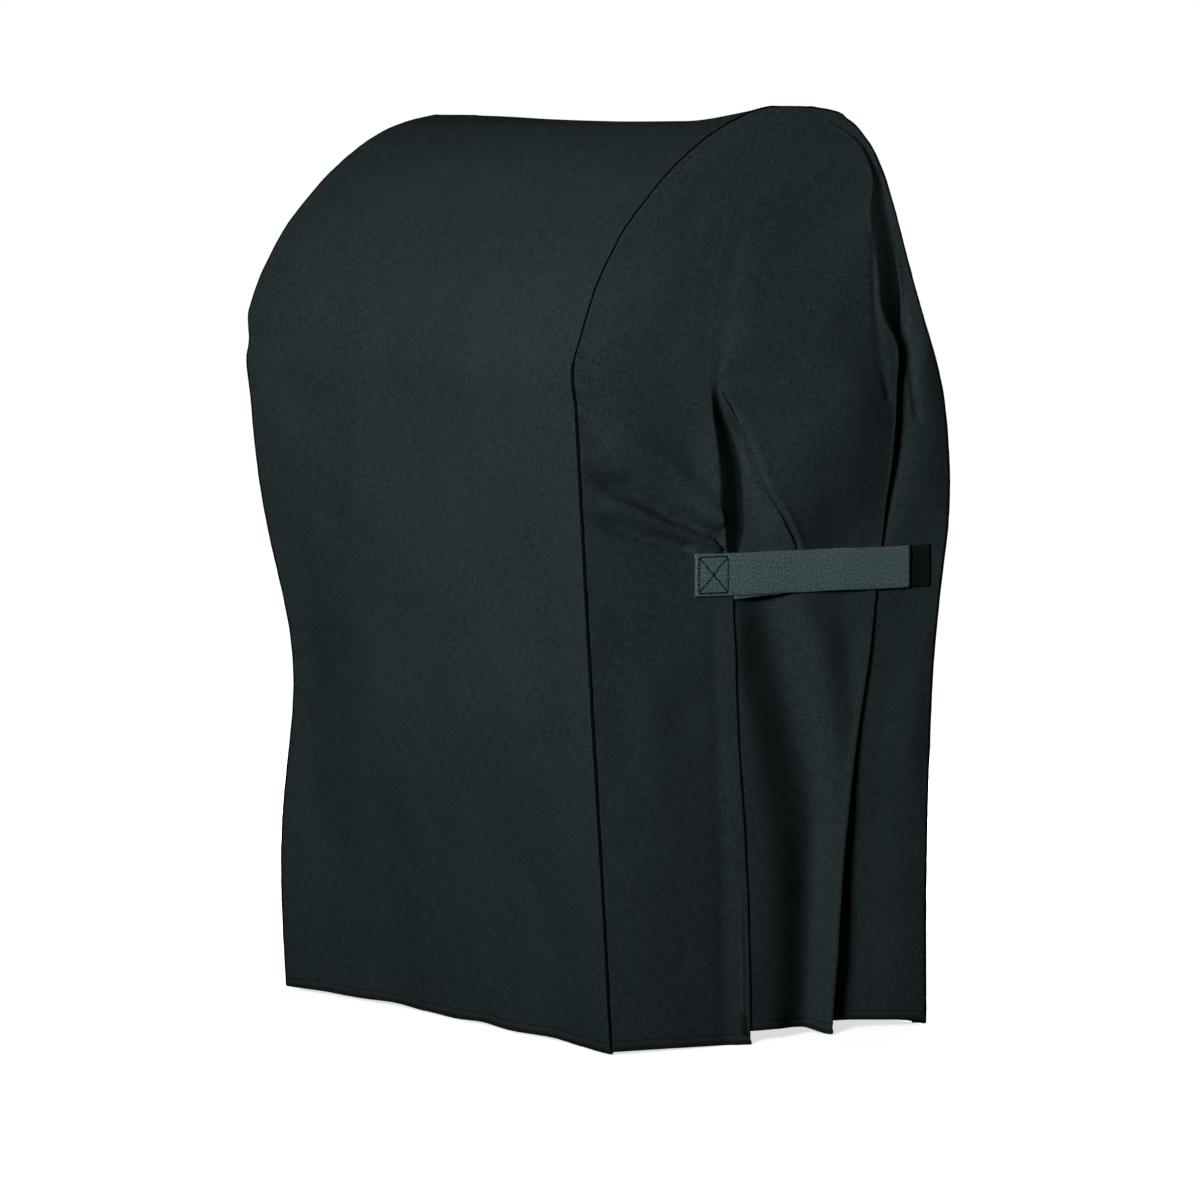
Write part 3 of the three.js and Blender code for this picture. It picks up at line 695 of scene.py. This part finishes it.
def seam(name, side):
    column = 0 if side < 0 else -1
    line = panel_points[:, column]
    panel_normal = outward_normals(panel_points, 1)[:, 4 if side < 0 else -5]
    inwards = unit(-panel_normal - np.array([side, 0, 0]))
    along = np.concatenate([[0], np.cumsum(np.linalg.norm(np.diff(line, axis=0), axis=1))])
    lean = unit(panel_normal - np.array([side, 0, 0]))
    wave = 1.5 * unevenness(along, along * 0, 45, 17 + side)
    rows, cut = [], []
    for depth, off in flange_section:
        bend = wave * (depth / FLANGE) ** 2
        rows.append(line + inwards * depth + lean * (off + bend)[:, None])
        cut.append(np.stack([along, along * 0 + depth * (1 if off > 0 else -1)], -1))
    rows, cut = np.array(rows), np.array(cut)
    binding = cloth_piece(f"{name}_seam_binding_fold", rows, cut, binding_tape, 0, flip=side > 0)
    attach(binding, "cover")
    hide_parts(f"{name}_seam_binding")
    # A near-black cord fills the groove. This is painted shade that stands in for the seam's shadow.
    turn = np.arange(8) * math.pi / 4
    over_lid = line[:, 2:] > KNEE
    girth = np.where(over_lid, 1.2, 2.1)
    middle = line - inwards * np.where(over_lid, 1.0, 1.9)
    turns = [*turn, turn[0]]
    rings = np.array([middle + girth * (math.cos(a) * inwards + math.sin(a) * lean) for a in turns])
    cut = np.stack([np.stack([along, along * 0 + n], -1) for n in range(9)])
    edges = cloth_piece(f"{name}_seam_shade_cord", rings, cut, seam_painted_shade, 0, flip=side > 0)
    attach(edges, "cover")


seam("right", 1)
seam("left", -1)

# ---------------------------------------------------------------- Straps
# Polypropylene webbing, 50 mm wide and 1.6 mm thick, ribbed across. Its front end is sewn to the side
# panel, over the first fold, with a box and cross; the rest peels away and is drawn back over the folds.
STRAP_WIDTH = 50
STRAP_MIDDLE = 550
STRAP_FRONT = 116
STRAP_END = 429.3
STRAP_FACE = 2.4  # its inner face, outside the seam's plane
STRAP_THICKNESS = 1.6
HINGE = 169  # where it starts to peel
HINGE_REACH = 3

# Webbing: polypropylene, paler than the cloth, with a coarse rib.
webbing = weave_tape("polypropylene_webbing", "#566769", "#2f3f42", 2.6, 0.8)


def band(name, ys, outs, low, high, thickness, side, material, crown=0.0):
    """A flat band along the side panel. outs is its inner face at each y, low and high its edges there."""
    ys, outs, low, high = np.broadcast_arrays(*(np.asarray(v, float) for v in (ys, outs, low, high)))
    shares = np.array([0, 0.012, 0.05, 0.25, 0.5, 0.75, 0.95, 0.988, 1])
    rounding = np.array([0.5, 0.18, 0, 0, 0, 0, 0, 0.18, 0.5])
    ring_share = np.concatenate([shares, shares[::-1][1:-1]])
    ring_out = np.concatenate([rounding, 1 - rounding[::-1][1:-1]]) * thickness
    swell = np.sin(math.pi * ring_share) * crown
    verts, faces = [], []
    for y, out, a, b in zip(ys, outs, low, high):
        for share, off, more in zip(ring_share, ring_out, swell):
            verts.append((side * (HALF_WIDTH + out + off + more), y, a + share * (b - a)))
    count = len(ring_share)
    for n in range(len(ys) - 1):
        for k in range(count):
            a, b = n * count + k, n * count + (k + 1) % count
            faces.append((a, b, b + count, a + count))
    faces.append(tuple(reversed(range(count))))
    faces.append(tuple((len(ys) - 1) * count + k for k in range(count)))
    if side > 0:
        faces = [face[::-1] for face in faces]
    mesh = bpy.data.meshes.new(name)
    placed = (np.array(verts) + np.array([0, FRONT_HEM, 0])) * 0.001
    mesh.from_pydata(placed.tolist(), [], faces)
    layer = mesh.uv_layers.new(name="cut")
    flat = np.array(verts)[:, 1:] * 0.001
    corners = np.array([v for face in faces for v in face])
    layer.data.foreach_set("uv", flat[corners].astype(np.float32).ravel())
    mesh.polygons.foreach_set("use_smooth", [len(face) == 4 for face in faces])
    mesh.materials.append(material)
    piece = bpy.data.objects.new(name, mesh)
    bpy.context.scene.collection.objects.link(piece)
    return piece


def strap(name, side):
    ys = np.concatenate(
        [
            np.linspace(STRAP_FRONT, HINGE - HINGE_REACH - 1, 18),
            np.linspace(HINGE - HINGE_REACH, HINGE + HINGE_REACH, 9),
            np.linspace(HINGE + HINGE_REACH + 1, STRAP_END, 80),
        ]
    )
    peeling = smooth(HINGE, HINGE + 30, ys)
    waves = 0.35 * np.sin((ys - HINGE) / 21) + 0.25 * unevenness(ys, ys * 0, 30, 51 + side)
    outs = STRAP_FACE + peeling * waves
    low = STRAP_MIDDLE - STRAP_WIDTH / 2 + 0.5 * unevenness(ys, ys * 0, 40, 61 + side)
    high = low + STRAP_WIDTH + 0.25 * unevenness(ys, ys * 0, 15, 71 + side)
    piece = band(f"{name}_strap_webbing", ys, outs, low, high, STRAP_THICKNESS, side, webbing, crown=0.25)
    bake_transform(piece)
    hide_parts(f"{name}_strap", f"{name}_strap_sewn_end")


strap("right", 1)
strap("left", -1)

# Behind the sewn end the strap is doubled; the turned-under length hangs a little below its edge.
for name, side in (("right", 1), ("left", -1)):
    ys = np.linspace(HINGE + 4, 292, 40)
    low = 525.8 - 5.2 * smooth(285, 168, ys) - 0.3 * np.sin(ys / 9)
    under = band(f"{name}_strap_under_layer", ys, STRAP_FACE - 1.45, low, 560, 1.35, side, webbing)
    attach(under, f"{name}_strap")


# The box and cross, in the heavy thread used for load-bearing seams.
BOX_INSET = 4


def box_and_cross(name, side):
    front, back = STRAP_FRONT + BOX_INSET, STRAP_FRONT + 50 - BOX_INSET
    low = STRAP_MIDDLE - STRAP_WIDTH / 2 + BOX_INSET
    high = STRAP_MIDDLE + STRAP_WIDTH / 2 - BOX_INSET
    x = side * (HALF_WIDTH + STRAP_FACE + STRAP_THICKNESS + 0.1)
    outline = [(front, low), (back, low), (back, high), (front, high), (front, low)]
    lines = [outline[n : n + 2] for n in range(4)]
    lines += [[(front, low), (back, high)], [(front, high), (back, low)]]
    rows = []
    for (ya, za), (yb, zb) in lines:
        t = np.linspace(0, 1, 30)
        y, z = ya + t * (yb - ya), za + t * (zb - za)
        lift = side * 0.25 * np.sin(math.pi * np.clip((z - 525) / 50, 0, 1))
        rows.append((np.stack([x + lift, y, z], -1), np.tile([side, 0.0, 0.0], (30, 1))))
    piece = sewn_rows(f"{name}_box_and_cross", rows, pitch=3.6, width=1.7)
    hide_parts(f"{name}_strap_stitching")


box_and_cross("right", 1)
box_and_cross("left", -1)

# ---------------------------------------------------------------- Hook and loop tapes
# Loop tape is sewn under the strap's free end, its napped side inwards. The hook patch that it grips is
# sewn to the side panel just short of the back seam: a nylon ground with rows of small stiff hooks.
TAPE = 1.2
LOOP_FRONT, LOOP_BACK = 335.3, 427.3
PATCH_FRONT, PATCH_BACK = 394.3, 462.3
PATCH_FACE = -0.8


def napped_tape(name, light, dark, rough, pitch):
    """A ground covered in soft loops or stiff hooks: small uneven tufts, paler in the middle."""
    material, shader = new_material(name)
    place = node(material, "TexCoord").outputs["Object"]
    cell = node(material, "TexVoronoi", {"Vector": place, "Scale": 1000 / pitch, "Randomness": 0.6})
    nap = node(material, "TexNoise", {"Vector": place, "Scale": 900.0, "Detail": 3.0})
    piled = {0: cell.outputs[0], 1: 0.7, 2: nap.outputs[0]}
    level = node(material, "Math", piled, operation="MULTIPLY_ADD").outputs[0]
    tone = node(material, "MapRange", {"Value": level, 1: 0.4, 2: 1.1, 3: 0.0, 4: 1.0}).outputs[0]
    dyed = node(material, "Mix", {0: tone, 6: linear(light), 7: linear(dark)}, data_type="RGBA")
    bump = node(material, "Bump", {"Height": level, "Strength": 0.8, "Distance": 0.0008}, invert=True)
    material.node_tree.links.new(dyed.outputs[2], shader.inputs["Base Color"])
    material.node_tree.links.new(bump.outputs[0], shader.inputs["Normal"])
    shader.inputs["Roughness"].default_value = rough
    shader.inputs["Specular IOR Level"].default_value = 0.3
    return material


# Loop tape: brushed nylon. Hook tape: nylon monofilament hooks, almost black.
loop_nap = napped_tape("nylon_loop_tape", "#2a3234", "#161c1e", 0.9, 1.4)
hook_face = napped_tape("nylon_hook_tape", "#1c2122", "#0c0f10", 0.9, 1.6)

for name, side in (("right", 1), ("left", -1)):
    ys = np.linspace(LOOP_FRONT, LOOP_BACK, 40)
    loops = band(f"{name}_loop_tape", ys, STRAP_FACE - TAPE - 0.4, 527, 573, TAPE + 0.3, side, loop_nap)
    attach(loops, f"{name}_strap")
    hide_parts(f"{name}_strap_loop_tape")
    ys = np.linspace(PATCH_FRONT, PATCH_BACK, 30)
    hooks = band(f"{name}_hook_tape_patch", ys, PATCH_FACE, 525, 575, TAPE, side, hook_face, crown=0.15)
    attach(hooks, "cover")
    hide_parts(f"{name}_hook_patch")

# ---------------------------------------------------------------- Floor, backdrop and light
# A white floor with a painted glow, weaker near the cover, and a white backdrop, both seen only in the
# picture and lighting nothing; a large soft key light in front and to the right, a broad fill behind the
# left rear corner, and a dim sky.
bpy.context.scene.view_settings.view_transform = "Standard"
world = bpy.data.worlds.new("studio")
bpy.context.scene.world = world
world.use_nodes = True
sky = world.node_tree.nodes["Background"]
sky.inputs["Color"].default_value = linear("#ffffff")
direction = node(world, "TexCoord").outputs["Generated"]
upwards = node(world, "SeparateXYZ", {0: direction}).outputs[2]
dim = node(world, "MapRange", {"Value": upwards, 1: 0.15, 2: 0.8, 3: 0.004, 4: 0.08}).outputs[0]
world.node_tree.links.new(dim, sky.inputs["Strength"])
backdrop = node(world, "Background", {"Color": linear("#ffffff"), "Strength": 1.0})
seen = node(world, "LightPath").outputs["Is Camera Ray"]
shown = node(world, "MixShader", {0: seen, 1: sky.outputs[0], 2: backdrop.outputs[0]})
world.node_tree.links.new(shown.outputs[0], world.node_tree.nodes["World Output"].inputs[0])

FLOOR = 14
floor_mesh = bpy.data.meshes.new("floor")
floor_corners = [(-FLOOR, -FLOOR, 0), (FLOOR, -FLOOR, 0), (FLOOR, FLOOR, 0), (-FLOOR, FLOOR, 0)]
floor_mesh.from_pydata(floor_corners, [], [(0, 1, 2, 3)])
floor = bpy.data.objects.new("floor", floor_mesh)
bpy.context.scene.collection.objects.link(floor)
floor.visible_diffuse = False
floor.visible_glossy = False
paint, paint_shader = new_material("white_floor_with_painted_glow")
paint_shader.inputs["Base Color"].default_value = linear("#f4f4f4")
paint_shader.inputs["Roughness"].default_value = 0.9
paint_shader.inputs["Specular IOR Level"].default_value = 0.0
paint_shader.inputs["Emission Color"].default_value = linear("#ffffff")
# Painted glow: the floor emits light that the camera sees. The glow is full beyond 1.6 m from the middle
# and drops to 0.7 within 0.5 m, which paints the floor round the cover a little darker.
distance = node(paint, "VectorMath", {0: node(paint, "TexCoord").outputs["Object"]}, operation="LENGTH")
away = distance.outputs["Value"]
painted_floor_glow = node(paint, "MapRange", {"Value": away, 1: 0.5, 2: 1.6, 3: 0.7, 4: 1.0}).outputs[0]
paint.node_tree.links.new(painted_floor_glow, paint_shader.inputs["Emission Strength"])
floor_mesh.materials.append(paint)


def soft_light(name, place, aimed_at, size, watts):
    light = bpy.data.lights.new(name, "AREA")
    light.shape = "RECTANGLE"
    light.size, light.size_y = size
    light.energy = watts
    lamp = bpy.data.objects.new(name, light)
    bpy.context.scene.collection.objects.link(lamp)
    lamp.location = place
    lamp.rotation_euler = (Vector(aimed_at) - Vector(place)).to_track_quat("-Z", "Y").to_euler()
    return lamp


key = soft_light("key_light", (2.95, -4.0, 1.75), (-0.05, 0, 0.92), (1, 1), 24.5)
key.data.spread = math.radians(45)
key.visible_glossy = False
fill = soft_light("fill_light", (-2.2, 2.4, 1.05), (0, 0, 0.6), (1.6, 1.2), 150)
fill.visible_glossy = False

# ---------------------------------------------------------------- Camera
# A long lens a good way off, a little above the strap's height, looking at the front right corner.
camera = bpy.data.objects.new("camera", bpy.data.cameras.new("camera"))
bpy.context.scene.collection.objects.link(camera)
bpy.context.scene.camera = camera
camera.data.sensor_width = 36
camera.data.lens = 178.1
camera.data.clip_end = 100
camera.location = (5.919, -4.1015, 0.973)
looked_at = Vector((0, 0.0115, 0.498))
camera.rotation_euler = (looked_at - camera.location).to_track_quat("-Z", "Y").to_euler()
